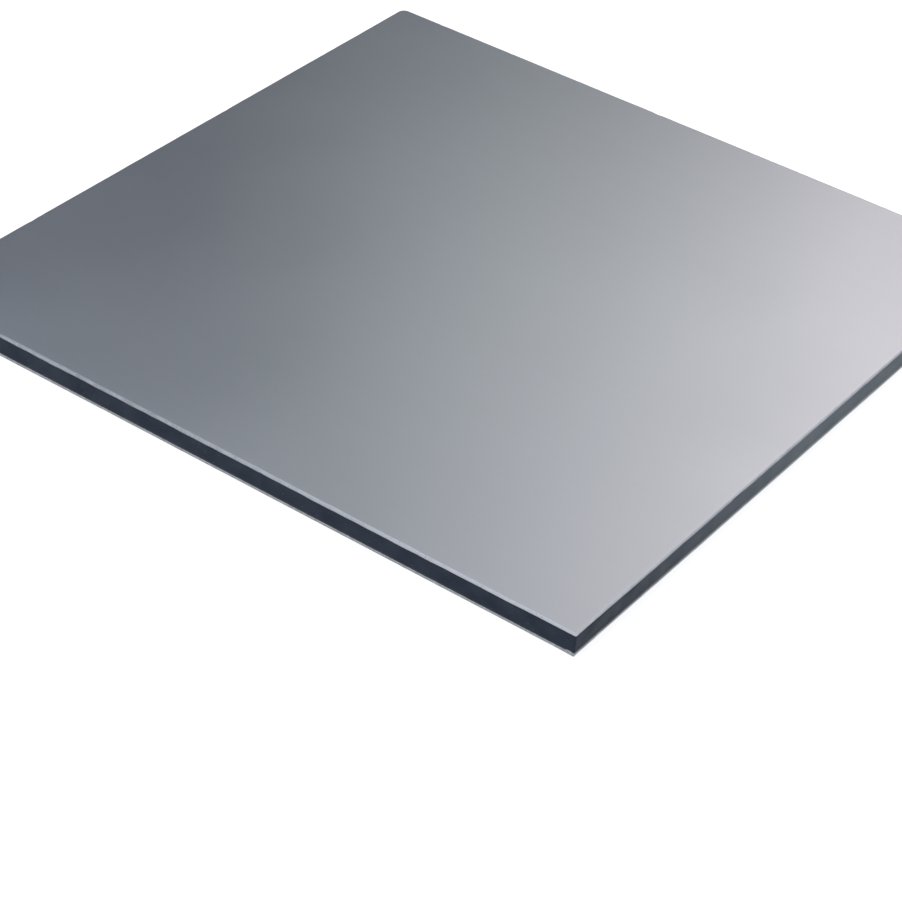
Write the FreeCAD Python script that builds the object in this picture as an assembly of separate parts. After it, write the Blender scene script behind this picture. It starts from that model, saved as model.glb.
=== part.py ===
"""Aluminium composite panel: a square sample piece, a plastic core bonded between aluminium skins.

The piece lies flat with its coated face up. The origin is at the middle of its underside, +Z is up,
and +X and +Y run along its cut edges. All lengths are in millimetres.
"""

import FreeCAD, Part
import math
import os

# Cut size of the piece
panel_length = 120.0
panel_width = 120.0

# Make-up of the sheet, from the top down
face_skin_thickness = 0.5
core_thickness = 3.0
back_skin_thickness = 0.5

# Cut edges: the soft core is cut back a little further than the skins, and the saw leaves each
# skin's outer arris slightly bevelled
core_setback = 0.05
arris_bevel = 0.06

# Corners: three are as square as the saw leaves them, and the one at -X +Y is knocked blunt
sawn_corner_radius = 0.2
blunt_corner_radius = 1.2

# Heights of the joints between the layers, from the underside up
core_base = back_skin_thickness
face_skin_base = core_base + core_thickness

# Corner radii in turn, anticlockwise from the corner at +X -Y
corner_radii = (sawn_corner_radius, sawn_corner_radius, blunt_corner_radius, sawn_corner_radius)
quarter_turn = math.pi / 2


def corner_arc(turns, radius, setback, height):
    """Start, middle and end of a corner's arc, turns quarter turns on from the corner at +X -Y."""
    middle = (turns - 0.5) * quarter_turn
    centre = FreeCAD.Vector(
        math.copysign(panel_length / 2 - setback - radius, math.cos(middle)),
        math.copysign(panel_width / 2 - setback - radius, math.sin(middle)),
        height,
    )
    angles = (middle - quarter_turn / 2, middle, middle + quarter_turn / 2)
    return [centre + FreeCAD.Vector(math.cos(a), math.sin(a), 0) * radius for a in angles]


def plan(setback, height):
    """The panel's outline as a flat face, set back from the cut edges, at the given height."""
    arcs = [corner_arc(turns, radius, setback, height) for turns, radius in enumerate(corner_radii)]
    edges = []
    for arc, following in zip(arcs, arcs[1:] + arcs[:1]):
        edges.append(Part.Arc(*arc).toShape())
        edges.append(Part.LineSegment(arc[-1], following[0]).toShape())
    return Part.Face(Part.Wire(edges))


def layer(base, thickness, setback=0.0):
    """A flat layer of the sheet, from the height of its underside up."""
    return plan(setback, base).extrude(FreeCAD.Vector(0, 0, thickness))


def bevelled(plate, outward):
    """The plate with a bevel all round its outer face: its top for outward 1, its underside for -1."""
    outer_face = max(plate.Faces, key=lambda face: outward * face.CenterOfMass.z)
    return plate.makeChamfer(arris_bevel, outer_face.Edges)


def face_skin():
    """Upper aluminium skin, which carries the coating."""
    return bevelled(layer(face_skin_base, face_skin_thickness), 1)


def core():
    """Plastic core, bonded face to face to both skins."""
    return layer(core_base, core_thickness, core_setback)


def back_skin():
    """Lower aluminium skin, on which the piece lies."""
    return bevelled(layer(0.0, back_skin_thickness), -1)


os.makedirs("parts", exist_ok=True)
for make_piece in (face_skin, core, back_skin):
    make_piece().exportStep(f"parts/{make_piece.__name__}.step")
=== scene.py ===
"""Looks of the aluminium composite panel: coated face, sawn skins and core, floor, lights and camera.

Lengths are in metres, in the panel's own frame: +Z up out of the coated face, the underside on the floor,
and the cut edges along X and Y.
"""

import math
import random

import bmesh
import bpy
from mathutils import Matrix, Vector, noise


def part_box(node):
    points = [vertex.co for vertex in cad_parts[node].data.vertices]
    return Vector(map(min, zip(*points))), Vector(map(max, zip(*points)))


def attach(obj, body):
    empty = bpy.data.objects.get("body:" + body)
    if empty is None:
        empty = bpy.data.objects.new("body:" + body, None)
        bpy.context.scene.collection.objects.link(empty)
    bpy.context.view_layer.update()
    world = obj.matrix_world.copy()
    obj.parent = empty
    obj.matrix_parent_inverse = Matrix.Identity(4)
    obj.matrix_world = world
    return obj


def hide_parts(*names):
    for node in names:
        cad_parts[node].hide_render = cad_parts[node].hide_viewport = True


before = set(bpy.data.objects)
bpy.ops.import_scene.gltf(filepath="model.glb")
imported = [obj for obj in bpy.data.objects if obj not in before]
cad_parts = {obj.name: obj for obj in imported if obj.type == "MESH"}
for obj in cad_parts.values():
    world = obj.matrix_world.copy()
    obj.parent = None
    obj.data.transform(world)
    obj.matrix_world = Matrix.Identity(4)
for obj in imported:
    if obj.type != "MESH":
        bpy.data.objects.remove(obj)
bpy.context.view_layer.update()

MM = 0.001

FACE_LOW, FACE_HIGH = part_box("face_skin")
CORE_LOW, CORE_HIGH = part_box("core")
BACK_LOW, BACK_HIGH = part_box("back_skin")
CORE_SETBACK = FACE_HIGH.x - CORE_HIGH.x

# How finely the cut edges are modelled
SKIN_STEP = 0.25 * MM
CORE_STEP = 0.12 * MM
CORE_LEVELS = 8
CORNER_STEPS = 10

# Share of the way to a side's end that the edge may be shaped in from that side
CORNER_ROOM = 0.8

# Places nearer than this are the same place
SAME_PLACE = 0.001 * MM

# Sawn skins: a wandering cut, a rolled border, an uneven arris, and metal dragged over the core's edge
CUT_WANDER = 0.05 * MM
CUT_WANDER_SIZE = 7 * MM
CUT_CHATTER = 0.008 * MM
CUT_CHATTER_SIZE = 0.6 * MM
ROLL_WIDTH = 0.45 * MM
ROLL_DROP = 0.004 * MM
ROLL_STEPS = 5
ARRIS_WIDTH = 0.05 * MM
ARRIS_UNEVEN = 0.03 * MM
ARRIS_UNEVEN_SIZE = 1.6 * MM
DRAG_LENGTH = 0.17 * MM
DRAG_UNEVEN = 0.08 * MM
DRAG_UNEVEN_SIZE = 2.2 * MM
LIP_THICKNESS = 0.03 * MM

# No metal is dragged over the core at the corner at +X -Y
CLEAN_CORNER = Vector((FACE_HIGH.x, FACE_LOW.y))
CLEAN_REACH = 14 * MM

# Dents along the upper arris
NICK_COUNT = 34
NICK_DEPTH = (0.04 * MM, 0.13 * MM)
NICK_WIDTH = (0.15 * MM, 0.6 * MM)
NICK_SEED = 11

# Burr on the back skin, on the -Y side of the corner at +X -Y: the cut stands out there to the full size
BURR_PLACE = Vector((FACE_HIGH.x - 0.8 * MM, FACE_LOW.y))
BURR_WIDTH = 0.8 * MM
BURR_LIP = 0.2 * MM
BACK_CUT_DEPTH = 0.05 * MM

# Sawn core: slanted saw lines over soft unevenness
SAW_LINE_SIZE = 0.28 * MM
SAW_LINE_DEPTH = 0.010 * MM
SAW_LINE_SLANT = 0.35
CORE_UNEVEN = 0.014 * MM
CORE_UNEVEN_SIZE = 2.5 * MM

# Seeds that keep the random forms apart
FACE_CUT_SEED = 1.0
FACE_DRAG_SEED = 31.0
BACK_CUT_SEED = 2.0
BURR_SEED = 57.0
SAW_LINE_SEED = 71.0
CORE_SEED = 83.0

# Painted highlight: the face skin's cut is painted brighter at -Y towards +X, and along its upper arris at
# +X
HIGHLIGHT_SHARE = 0.75
HIGHLIGHT_START = -14 * MM
HIGHLIGHT_FULL = 40 * MM
HIGHLIGHT_ARRIS_LOW = FACE_HIGH.z - 0.34 * MM
HIGHLIGHT_ARRIS_HIGH = FACE_HIGH.z - 0.10 * MM

# How far in from its side a place is still on the cut, and how far in it no longer is
ON_CUT = 0.3 * MM
OFF_CUT = 0.5 * MM

# The face skin's cut is darker along both borders than along its middle
BORDER_DARKENING = 0.45
BAND_MIDDLE = FACE_HIGH.z - 0.30 * MM
BAND_HALF = 0.08 * MM
BAND_SOFT = 0.17 * MM

# How far in from the cut the coating is worn thin
WEAR_REACH = 0.22 * MM

# Pale sawdust on the core's cut, partly a painted sheen: thickest round the corner at +X +Y and gone at
# the far reach
SAWDUST_AND_SHEEN_NEAR = 62 * MM
SAWDUST_AND_SHEEN_FAR = 114 * MM


# Outlines of the cut edge

def corner_radius(name, low, high, sign_x, sign_y):
    """Radius of a corner of a node, from where its straight +X or -X side ends beside that corner."""
    side_x = high.x if sign_x > 0 else low.x
    corner_y = high.y if sign_y > 0 else low.y
    places = [vertex.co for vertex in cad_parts[name].data.vertices]
    return min(abs(corner_y - place.y) for place in places if abs(place.x - side_x) < SAME_PLACE)


def outline(name, step_length):
    """Places, outward normals and room round a node's cut edge, anticlockwise from the corner at +X -Y.

    The room at a place is how far in from it the edge may be shaped without meeting the next side's.
    """
    low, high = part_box(name)
    bends = []
    for turns, (sign_x, sign_y) in enumerate(((1, -1), (1, 1), (-1, 1), (-1, -1))):
        radius = corner_radius(name, low, high, sign_x, sign_y)
        corner = Vector((high.x if sign_x > 0 else low.x, high.y if sign_y > 0 else low.y))
        centre = corner - Vector((sign_x, sign_y)) * radius
        for step in range(CORNER_STEPS + 1):
            angle = (turns - 1 + step / CORNER_STEPS) * math.pi / 2
            normal = Vector((math.cos(angle), math.sin(angle)))
            bends.append((centre + normal * radius, normal, radius))
    rows = []
    for (place, normal, radius), (following, _, next_radius) in zip(bends, bends[1:] + bends[:1]):
        length = (following - place).length
        steps = max(1, round(length / step_length))
        for step in range(steps):
            gone = length * step / steps
            room = CORNER_ROOM * min(radius + gone, next_radius + length - gone)
            rows.append((place.lerp(following, step / steps), normal, room))
    return rows


def wander(place, size, seed, height=0.0):
    """Smooth random number from about -1 to 1 that changes over this size from place to place."""
    return noise.noise(Vector((place.x / size, place.y / size, height / size + seed)))


# Pieces

def new_piece(name, mesh, materials):
    """Makes an object of a bmesh with its materials, in the order of their indices."""
    data = bpy.data.meshes.new(name)
    mesh.to_mesh(data)
    mesh.free()
    for material in materials:
        data.materials.append(material)
    piece = bpy.data.objects.new(name, data)
    bpy.context.scene.collection.objects.link(piece)
    return piece


def cut_plate(name, rows, profile, materials, low_index, edge_index, high_index):
    """A plate with a flat lower and upper cap and a modelled cut edge between them.

    profile(place, room) lists the inset and height of each step of the cut at a place, from the lower
    cap up. The ROLL_STEPS steps beside a cap belong to its face and have its material.
    """
    mesh = bmesh.new()
    rings = []
    for place, normal, room in rows:
        steps = profile(place, room)
        rings.append([mesh.verts.new((*(place - normal * inset), height)) for inset, height in steps])
    for ring, following in zip(rings, rings[1:] + rings[:1]):
        last = len(ring) - 1
        for level in range(last):
            side = mesh.faces.new((ring[level], following[level], following[level + 1], ring[level + 1]))
            side.smooth = True
            side.material_index = edge_index
            if level < ROLL_STEPS:
                side.material_index = low_index
            elif level >= last - ROLL_STEPS:
                side.material_index = high_index
    low_centre = mesh.verts.new((0, 0, rings[0][0].co.z))
    high_centre = mesh.verts.new((0, 0, rings[0][-1].co.z))
    for ring, following in zip(rings, rings[1:] + rings[:1]):
        mesh.faces.new((low_centre, following[0], ring[0])).material_index = low_index
        mesh.faces.new((high_centre, ring[-1], following[-1])).material_index = high_index
    return new_piece(name, mesh, materials)


def skin_cut(place, room, joint, outer, seed, drag, dent):
    """Steps of a skin's cut edge from its joint with the core to its outer face.

    drag is how far its metal hangs over the core, and dent how deep its outer arris is knocked in. Where
    the room is short, the arris and the rolled border are smaller by the same share.
    """
    up = 1 if outer > joint else -1
    cut = CUT_WANDER * (1 + wander(place, CUT_WANDER_SIZE, seed)) / 2
    cut += CUT_CHATTER * (1 + wander(place, CUT_CHATTER_SIZE, seed + 5)) / 2
    arris = ARRIS_WIDTH + ARRIS_UNEVEN * wander(place, ARRIS_UNEVEN_SIZE, seed + 9) + dent
    shrink = min(1.0, (room - cut) / (arris + ROLL_WIDTH))
    arris *= shrink
    roll = ROLL_WIDTH * shrink
    drop = ROLL_DROP * shrink
    thickness = abs(outer - joint)
    rolled = outer - up * drop
    steps = [
        (CORE_SETBACK + LIP_THICKNESS, joint),
        (cut + LIP_THICKNESS, joint - up * drag),
        (cut, joint - up * drag * 0.8),
        (cut, joint + up * thickness * 0.3),
        (cut, rolled - up * arris * 1.5),
        (cut, rolled - up * arris),
        (cut + arris * 0.3, rolled - up * arris * 0.3),
    ]
    for step in range(ROLL_STEPS + 1):
        share = step / ROLL_STEPS
        steps.append((cut + arris + roll * share, outer - up * drop * (1 - share) ** 2))
    return steps


def make_nicks():
    """Random dents in the upper arris: place, depth and width."""
    rng = random.Random(NICK_SEED)
    nicks = []
    for _ in range(NICK_COUNT):
        along = rng.uniform(-1, 1)
        side = rng.randrange(4)
        sign = 1 - 2 * (side // 2)
        x = FACE_HIGH.x * (along if side % 2 else sign)
        y = FACE_HIGH.y * (sign if side % 2 else along)
        nicks.append((Vector((x, y)), rng.uniform(*NICK_DEPTH), rng.uniform(*NICK_WIDTH)))
    return nicks


def make_face_skin(coat, bare):
    nicks = make_nicks()

    def profile(place, room):
        dent = 0.0
        for centre, depth, width in nicks:
            dent += depth * math.exp(-((place - centre).length / width) ** 2)
        drag = DRAG_LENGTH + DRAG_UNEVEN * wander(place, DRAG_UNEVEN_SIZE, FACE_DRAG_SEED)
        drag *= 1 - math.exp(-((place - CLEAN_CORNER).length / CLEAN_REACH) ** 2)
        return skin_cut(place, room, FACE_LOW.z, FACE_HIGH.z, FACE_CUT_SEED, drag, dent)

    piece = cut_plate("coated_skin", outline("face_skin", SKIN_STEP), profile, [bare, coat], 0, 0, 1)
    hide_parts("face_skin")
    return piece


def make_back_skin(back, bare):
    def profile(place, room):
        burr = math.exp(-((place - BURR_PLACE).length / BURR_WIDTH) ** 2)
        lip = burr * (BURR_LIP + DRAG_UNEVEN * wander(place, DRAG_UNEVEN_SIZE, BURR_SEED))
        steps = skin_cut(place, room - BACK_CUT_DEPTH, BACK_HIGH.z, BACK_LOW.z, BACK_CUT_SEED, lip, 0.0)
        return [(inset + BACK_CUT_DEPTH * (1 - burr), height) for inset, height in reversed(steps)]

    piece = cut_plate("plain_skin", outline("back_skin", SKIN_STEP), profile, [bare, back], 1, 0, 0)
    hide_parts("back_skin")
    return piece


def make_core(plastic):
    """The core's cut edge has slanted saw lines over soft unevenness, and meets both skins flat."""
    thickness = CORE_HIGH.z - CORE_LOW.z

    def profile(place, _):
        steps = []
        for level in range(CORE_LEVELS + 1):
            height = CORE_LOW.z + thickness * level / CORE_LEVELS
            shifted = place + Vector((1, 1)) * SAW_LINE_SLANT * height
            relief = SAW_LINE_DEPTH * wander(shifted, SAW_LINE_SIZE, SAW_LINE_SEED)
            relief += CORE_UNEVEN * wander(place, CORE_UNEVEN_SIZE, CORE_SEED, height)
            steps.append((relief, height))
        return steps

    piece = cut_plate("sawn_core", outline("core", CORE_STEP), profile, [plastic], 0, 0, 0)
    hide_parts("core")
    return piece


# Materials, with colours as linear red, green and blue

COAT_DARK = (0.385, 0.396, 0.414)
COAT_PALE = (0.435, 0.447, 0.468)
COAT_STREAK = (0.37, 0.382, 0.40)
COAT_WORN = (0.55, 0.565, 0.59)

FACE_CUT_DULL = (0.242, 0.26, 0.297)
FACE_CUT_BRIGHT = (0.342, 0.363, 0.408)
FACE_CUT_BORDER = (0.17, 0.18, 0.205)
# Painted highlight colour of the face skin's cut
FACE_CUT_HIGHLIGHT = (0.505, 0.525, 0.57)
# Painted shade: the back skin's cut has darker colours than the face skin's, for the shade of the floor
# beneath it
SHADED_BACK_CUT_DULL = (0.22, 0.23, 0.24)
SHADED_BACK_CUT_BRIGHT = (0.31, 0.32, 0.335)
CUT_LINE = (0.66, 0.67, 0.69)
CUT_SPECK = (0.12, 0.125, 0.135)

MILL_DARK = (0.50, 0.51, 0.52)
MILL_PALE = (0.60, 0.61, 0.62)
MILL_CLOUD = (0.46, 0.47, 0.485)

PLASTIC_DARK = (0.008, 0.015, 0.027)
PLASTIC_PALE = (0.016, 0.024, 0.039)
PLASTIC_GRAIN = (0.022, 0.028, 0.040)
PLASTIC_CRUMB = (0.10, 0.11, 0.12)
# Pale sawdust colour, which also paints the sheen on the core's cut
SAWDUST_AND_SHEEN = (0.115, 0.137, 0.150)


def node(tree, kind, inputs=None, **properties):
    """Adds a node. An input given as another node's output is linked, and any other value is set."""
    made = tree.nodes.new(kind)
    for name, value in properties.items():
        setattr(made, name, value)
    for name, value in (inputs or {}).items():
        if isinstance(value, bpy.types.NodeSocket):
            tree.links.new(value, made.inputs[name])
        else:
            made.inputs[name].default_value = value
    return made


def new_material(name):
    """An empty node material, its tree and its object coordinates, in metres."""
    material = bpy.data.materials.new(name)
    material.use_nodes = True
    tree = material.node_tree
    tree.nodes.clear()
    return material, tree, tree.nodes.new("ShaderNodeTexCoord").outputs["Object"]


def finish_material(tree, shader):
    """Joins a shader node to the material's output."""
    tree.links.new(shader.outputs[0], tree.nodes.new("ShaderNodeOutputMaterial").inputs[0])


def finish_surface(tree, color, rough, relief, strength, depth, more):
    """Ends a material in one surface, with a fine relief of this strength and depth."""
    bump = node(tree, "ShaderNodeBump", {"Height": relief, "Strength": strength, "Distance": depth})
    inputs = {"Base Color": color, "Roughness": rough, "Normal": bump.outputs[0], **more}
    finish_material(tree, node(tree, "ShaderNodeBsdfPrincipled", inputs))


def stretched(tree, place, x, y, z):
    """The coordinates scaled apart in each direction, so that a noise on them runs in streaks."""
    return node(tree, "ShaderNodeMapping", {"Vector": place, "Scale": (x, y, z)}).outputs[0]


def noise_value(tree, place, size, detail=2.0, rough=0.5):
    """Soft noise from 0 to 1 with features of about this size."""
    inputs = {"Vector": place, "Scale": 1 / size, "Detail": detail, "Roughness": rough}
    return node(tree, "ShaderNodeTexNoise", inputs).outputs[0]


def spread(tree, value, low, high, to_low=0.0, to_high=1.0):
    """Maps the part of a value between low and high to a new range, and holds it there outside."""
    inputs = {"Value": value, "From Min": low, "From Max": high, "To Min": to_low, "To Max": to_high}
    return node(tree, "ShaderNodeMapRange", inputs).outputs[0]


def math_value(tree, operation, a, b):
    return node(tree, "ShaderNodeMath", {0: a, 1: b}, operation=operation).outputs[0]


def absolute(tree, value):
    return node(tree, "ShaderNodeMath", {0: value}, operation="ABSOLUTE").outputs[0]


def mixed_color(tree, share, a, b):
    """Colour a where share is 0 and b where it is 1. Each is a colour of three values or a socket."""
    made = node(tree, "ShaderNodeMix", {"Factor": share}, data_type="RGBA")
    for socket, value in ((made.inputs[6], a), (made.inputs[7], b)):
        if isinstance(value, bpy.types.NodeSocket):
            tree.links.new(value, socket)
        else:
            socket.default_value = (*value, 1)
    return made.outputs[2]


def edge_nearness(tree, place, reach):
    """1 at the panel's cut edges, falling to 0 this far in from them."""
    parts = node(tree, "ShaderNodeSeparateXYZ", {0: place})
    gaps = []
    for axis, half in (("X", FACE_HIGH.x), ("Y", FACE_HIGH.y)):
        gaps.append(math_value(tree, "SUBTRACT", half, absolute(tree, parts.outputs[axis])))
    return spread(tree, math_value(tree, "MINIMUM", *gaps), 0.0, reach, 1.0, 0.0)


def coat_material():
    """Metallic silver coating: fine flake, faint streaks along X, soft smears, and thin at the cut."""
    material, tree, place = new_material("silver_coat")
    flake = noise_value(tree, place, 0.16 * MM, 3.0, 0.7)
    streak = noise_value(tree, stretched(tree, place, 0.03, 1.0, 1.0), 1.1 * MM, 3.0)
    smear = noise_value(tree, place, 32 * MM, 3.0)
    wear = edge_nearness(tree, place, WEAR_REACH)
    worn = math_value(tree, "MULTIPLY", wear, spread(tree, noise_value(tree, place, 0.8 * MM), 0.35, 0.7))
    color = mixed_color(tree, spread(tree, flake, 0.3, 0.7), COAT_DARK, COAT_PALE)
    color = mixed_color(tree, spread(tree, streak, 0.2, 0.8, 0.0, 0.2), color, COAT_STREAK)
    color = mixed_color(tree, math_value(tree, "MULTIPLY", worn, 0.15), color, COAT_WORN)
    rough = spread(tree, smear, 0.25, 0.75, 0.32, 0.35)
    rough = math_value(tree, "ADD", rough, spread(tree, flake, 0.3, 0.7, -0.01, 0.01))
    finish_surface(tree, color, rough, flake, 0.06, 0.01 * MM, {"Metallic": 1.0})
    return material


def painted_highlight_share(tree, place):
    """Share of the painted highlight: 1 on the cut at -Y towards +X and along the upper arris at +X, and 0
    elsewhere.
    """
    parts = node(tree, "ShaderNodeSeparateXYZ", {0: place}).outputs
    along = spread(tree, parts["X"], HIGHLIGHT_START, HIGHLIGHT_FULL)
    front = spread(tree, parts["Y"], FACE_LOW.y + ON_CUT, FACE_LOW.y + OFF_CUT, 1.0, 0.0)
    arris = spread(tree, parts["Z"], HIGHLIGHT_ARRIS_LOW, HIGHLIGHT_ARRIS_HIGH)
    right = spread(tree, parts["X"], FACE_HIGH.x - OFF_CUT, FACE_HIGH.x - ON_CUT)
    front = math_value(tree, "MULTIPLY", along, front)
    right = math_value(tree, "MULTIPLY", arris, right)
    return math_value(tree, "MAXIMUM", front, right)


def border_share(tree, place):
    """0 along the middle of the face skin's cut, and 1 along both its borders."""
    height = node(tree, "ShaderNodeSeparateXYZ", {0: place}).outputs["Z"]
    away = absolute(tree, math_value(tree, "SUBTRACT", height, BAND_MIDDLE))
    return spread(tree, away, BAND_HALF, BAND_HALF + BAND_SOFT)


def face_cut_color(tree, place, color):
    """The colour of the face skin's cut: darker along its borders, and brighter where a highlight is
    painted on.
    """
    share = math_value(tree, "MULTIPLY", border_share(tree, place), BORDER_DARKENING)
    color = mixed_color(tree, share, color, FACE_CUT_BORDER)
    # Painted highlight on the cut at -Y towards +X and on the upper arris at +X
    share = math_value(tree, "MULTIPLY", painted_highlight_share(tree, place), HIGHLIGHT_SHARE)
    return mixed_color(tree, share, color, FACE_CUT_HIGHLIGHT)


def bare_material(name, dull, bright, on_face_skin):
    """Freshly sawn aluminium: fine upright saw lines, duller patches and dark specks."""
    material, tree, place = new_material(name)
    lines = noise_value(tree, stretched(tree, place, 1.0, 1.0, 0.15), 0.12 * MM, 2.0)
    patch = noise_value(tree, place, 1.4 * MM, 3.0)
    speck = noise_value(tree, place, 0.22 * MM, 1.0)
    lit = spread(tree, lines, 0.35, 0.75, 0.0, 0.35)
    color = mixed_color(tree, spread(tree, patch, 0.3, 0.7), dull, bright)
    color = mixed_color(tree, lit, color, CUT_LINE)
    if on_face_skin:
        color = face_cut_color(tree, place, color)
    color = mixed_color(tree, spread(tree, speck, 0.66, 0.74, 0.0, 0.55), color, CUT_SPECK)
    rough = spread(tree, patch, 0.3, 0.7, 0.56, 0.44)
    finish_surface(tree, color, rough, lines, 0.35, 0.01 * MM, {"Metallic": 1.0})
    return material


def back_material():
    """Mill finish of the underside: fine rolling lines along X and dull clouds."""
    material, tree, place = new_material("mill_aluminium")
    lines = noise_value(tree, stretched(tree, place, 0.02, 1.0, 1.0), 0.25 * MM, 4.0, 0.6)
    cloud = noise_value(tree, place, 22 * MM, 4.0)
    color = mixed_color(tree, spread(tree, lines, 0.3, 0.7), MILL_DARK, MILL_PALE)
    color = mixed_color(tree, spread(tree, cloud, 0.35, 0.7, 0.0, 0.3), color, MILL_CLOUD)
    rough = spread(tree, cloud, 0.3, 0.7, 0.36, 0.46)
    rough = math_value(tree, "ADD", rough, spread(tree, lines, 0.3, 0.7, -0.03, 0.03))
    finish_surface(tree, color, rough, lines, 0.12, 0.01 * MM, {"Metallic": 1.0})
    return material


def core_material():
    """Dark plastic as the saw leaves it: matte and blotchy, with fine lines, pale crumbs, and pale sawdust
    that is partly painted sheen.
    """
    material, tree, place = new_material("core_plastic")
    blotch = noise_value(tree, place, 3.2 * MM, 3.0)
    grain = noise_value(tree, place, 0.14 * MM, 3.0, 0.65)
    lines = noise_value(tree, stretched(tree, place, 1.0, 1.0, 0.2), 0.16 * MM, 2.0)
    crumb = noise_value(tree, place, 0.35 * MM, 0.0)
    corner = (CORE_HIGH.x, CORE_HIGH.y, CORE_HIGH.z)
    away = node(tree, "ShaderNodeVectorMath", {0: place, 1: corner}, operation="DISTANCE").outputs["Value"]
    # Painted sheen with sawdust: the core's cut is painted paler towards the corner at +X +Y
    dust_and_sheen = spread(tree, away, SAWDUST_AND_SHEEN_NEAR, SAWDUST_AND_SHEEN_FAR, 1.0, 0.0)
    dust_and_sheen = math_value(tree, "MULTIPLY", dust_and_sheen, spread(tree, grain, 0.2, 0.7, 0.6, 1.0))
    color = mixed_color(tree, spread(tree, blotch, 0.3, 0.7), PLASTIC_DARK, PLASTIC_PALE)
    color = mixed_color(tree, spread(tree, grain, 0.4, 0.8, 0.0, 0.3), color, PLASTIC_GRAIN)
    color = mixed_color(tree, spread(tree, crumb, 0.76, 0.84, 0.0, 0.3), color, PLASTIC_CRUMB)
    color = mixed_color(tree, dust_and_sheen, color, SAWDUST_AND_SHEEN)
    rough = spread(tree, blotch, 0.3, 0.7, 0.62, 0.50)
    height = math_value(tree, "ADD", math_value(tree, "MULTIPLY", lines, 0.6), grain)
    finish_surface(tree, color, rough, height, 0.4, 0.02 * MM, {"Specular IOR Level": 0.15})
    return material


# Studio

FLOOR_SIZE = 12.0
FLOOR_DROP = 0.02 * MM
OWN_WHITE_SHARE = 0.5
OWN_WHITE_BRIGHTNESS = 1.5
DOME_COLOR = (0.03, 0.043, 0.077)


def floor_material():
    """White floor. Part of its seen brightness is its own, so it stays white and keeps the shadow."""
    material, tree, _ = new_material("floor_white")
    path = node(tree, "ShaderNodeLightPath").outputs
    seen = math_value(tree, "ADD", path["Is Camera Ray"], path["Is Glossy Ray"])
    seen = math_value(tree, "ADD", seen, path["Is Transmission Ray"])
    share = math_value(tree, "MULTIPLY", seen, OWN_WHITE_SHARE)
    diffuse = node(tree, "ShaderNodeBsdfDiffuse", {"Color": (0.9, 0.9, 0.9, 1)})
    white = node(tree, "ShaderNodeEmission", {"Color": (1, 1, 1, 1), "Strength": OWN_WHITE_BRIGHTNESS})
    mixed = node(tree, "ShaderNodeMixShader", {0: share, 1: diffuse.outputs[0], 2: white.outputs[0]})
    finish_material(tree, mixed)
    return material


def make_floor():
    mesh = bmesh.new()
    bmesh.ops.create_grid(mesh, size=FLOOR_SIZE / 2)
    floor = new_piece("floor", mesh, [floor_material()])
    floor.location.z = -FLOOR_DROP


def softbox(name, azimuth, elevation, distance, width, height, brightness):
    """A soft light that faces the panel. Azimuth is from +X to +Y, and brightness its colour as seen."""
    a, e = math.radians(azimuth), math.radians(elevation)
    towards = Vector((math.cos(a) * math.cos(e), math.sin(a) * math.cos(e), math.sin(e)))
    light = bpy.data.lights.new(name, "AREA")
    light.shape = "RECTANGLE"
    light.size = width
    light.size_y = height
    light.color = brightness
    light.energy = math.pi * width * height
    lamp = bpy.data.objects.new(name, light)
    bpy.context.scene.collection.objects.link(lamp)
    lamp.location = towards * distance
    lamp.rotation_mode = "QUATERNION"
    lamp.rotation_quaternion = towards.to_track_quat("Z", "Y")


def make_lights():
    """Soft lights behind and above, which the face mirrors, and lower ones round it for the cuts."""
    softbox("key_softbox", 92.5, 36.9, 1.2, 0.81, 0.955, (1.345, 1.155, 1.18))
    softbox("fill_softbox", 112.9, 35.9, 1.25, 0.52, 0.183, (1.64, 1.81, 1.705))
    softbox("top_softbox", 172.5, 72.7, 1.5, 1.52, 1.52, (1.68, 1.79, 1.90))
    softbox("front_softbox", -95.0, 22.0, 0.8, 1.3, 0.6, (1.5, 1.5, 1.55))
    softbox("side_softbox", 40.0, 26.0, 1.2, 1.4, 0.8, (1.35, 1.4, 1.45))
    softbox("left_wall", -150.0, 26.0, 1.5, 1.5, 1.0, (0.8, 0.8, 0.82))
    softbox("right_wall", -25.0, 26.0, 1.5, 1.5, 1.0, (0.8, 0.8, 0.82))


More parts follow.
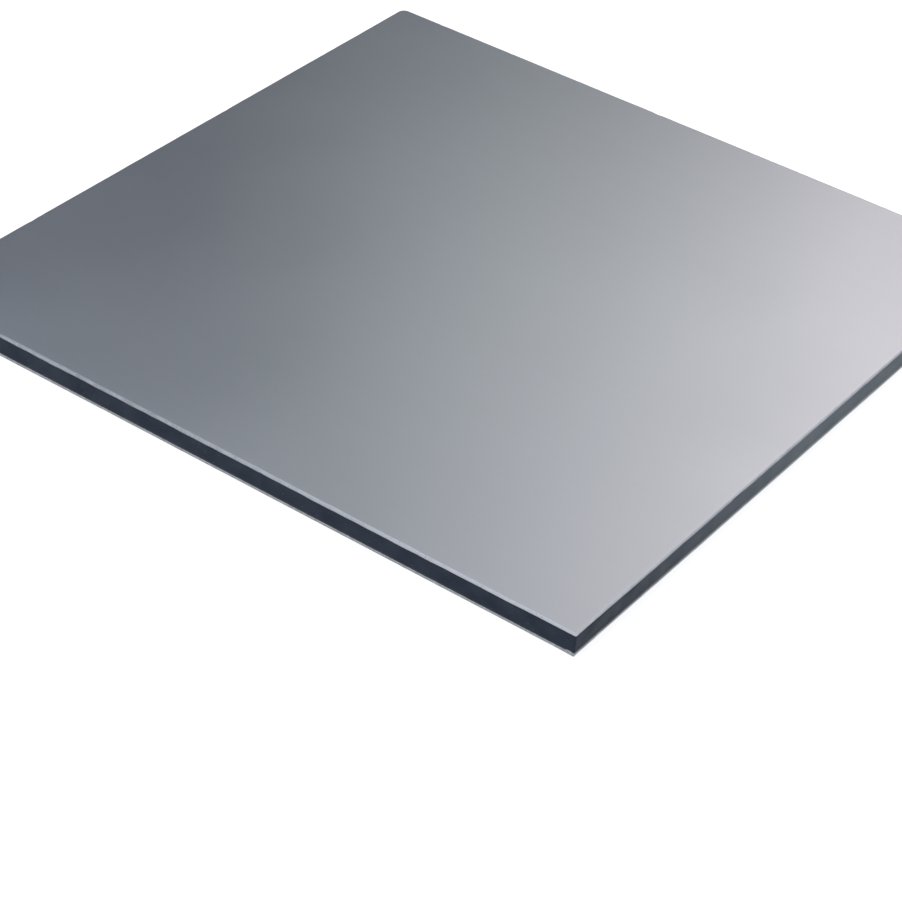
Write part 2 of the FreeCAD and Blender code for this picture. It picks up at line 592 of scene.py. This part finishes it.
def make_world():
    """A dim room behind the lights, which the camera sees as white."""
    world = bpy.data.worlds.new("studio")
    bpy.context.scene.world = world
    world.use_nodes = True
    tree = world.node_tree
    tree.nodes.clear()
    seen = node(tree, "ShaderNodeLightPath").outputs["Is Camera Ray"]
    color = mixed_color(tree, seen, DOME_COLOR, (1, 1, 1))
    background = node(tree, "ShaderNodeBackground", {"Color": color})
    tree.links.new(background.outputs[0], tree.nodes.new("ShaderNodeOutputWorld").inputs[0])


# Camera

CAMERA_AZIMUTH = 33.915
CAMERA_ELEVATION = 36.684
CAMERA_ROLL = 4.54
CAMERA_PLACE = Vector((200.28, -300.96, 239.07)) * MM
FOCAL_PIXELS = 2813.7
FRAME_PIXELS = 902
SENSOR_WIDTH = 36.0


def make_camera():
    """The photograph's camera. Azimuth turns its view from +Y to -X, and roll turns it about its view."""
    data = bpy.data.cameras.new("camera")
    data.sensor_width = SENSOR_WIDTH
    data.lens = FOCAL_PIXELS / FRAME_PIXELS * SENSOR_WIDTH
    camera = bpy.data.objects.new("camera", data)
    bpy.context.scene.collection.objects.link(camera)
    turn = Matrix.Rotation(math.radians(CAMERA_AZIMUTH), 4, "Z")
    tilt = Matrix.Rotation(math.radians(90 - CAMERA_ELEVATION), 4, "X")
    roll = Matrix.Rotation(math.radians(CAMERA_ROLL), 4, "Z")
    camera.matrix_world = Matrix.Translation(CAMERA_PLACE) @ turn @ tilt @ roll
    bpy.context.scene.camera = camera


face_cut = bare_material("sawn_face_skin", FACE_CUT_DULL, FACE_CUT_BRIGHT, True)
# The back skin's cut is the same sawn aluminium in darker colours, with painted shade
shaded_back_cut = bare_material("sawn_back_skin_painted_shade", SHADED_BACK_CUT_DULL, SHADED_BACK_CUT_BRIGHT, False)
for piece in (
    make_face_skin(coat_material(), face_cut),
    make_core(core_material()),
    make_back_skin(back_material(), shaded_back_cut),
):
    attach(piece, "root")

make_floor()
make_world()
make_lights()
make_camera()
bpy.context.scene.view_settings.view_transform = "Standard"
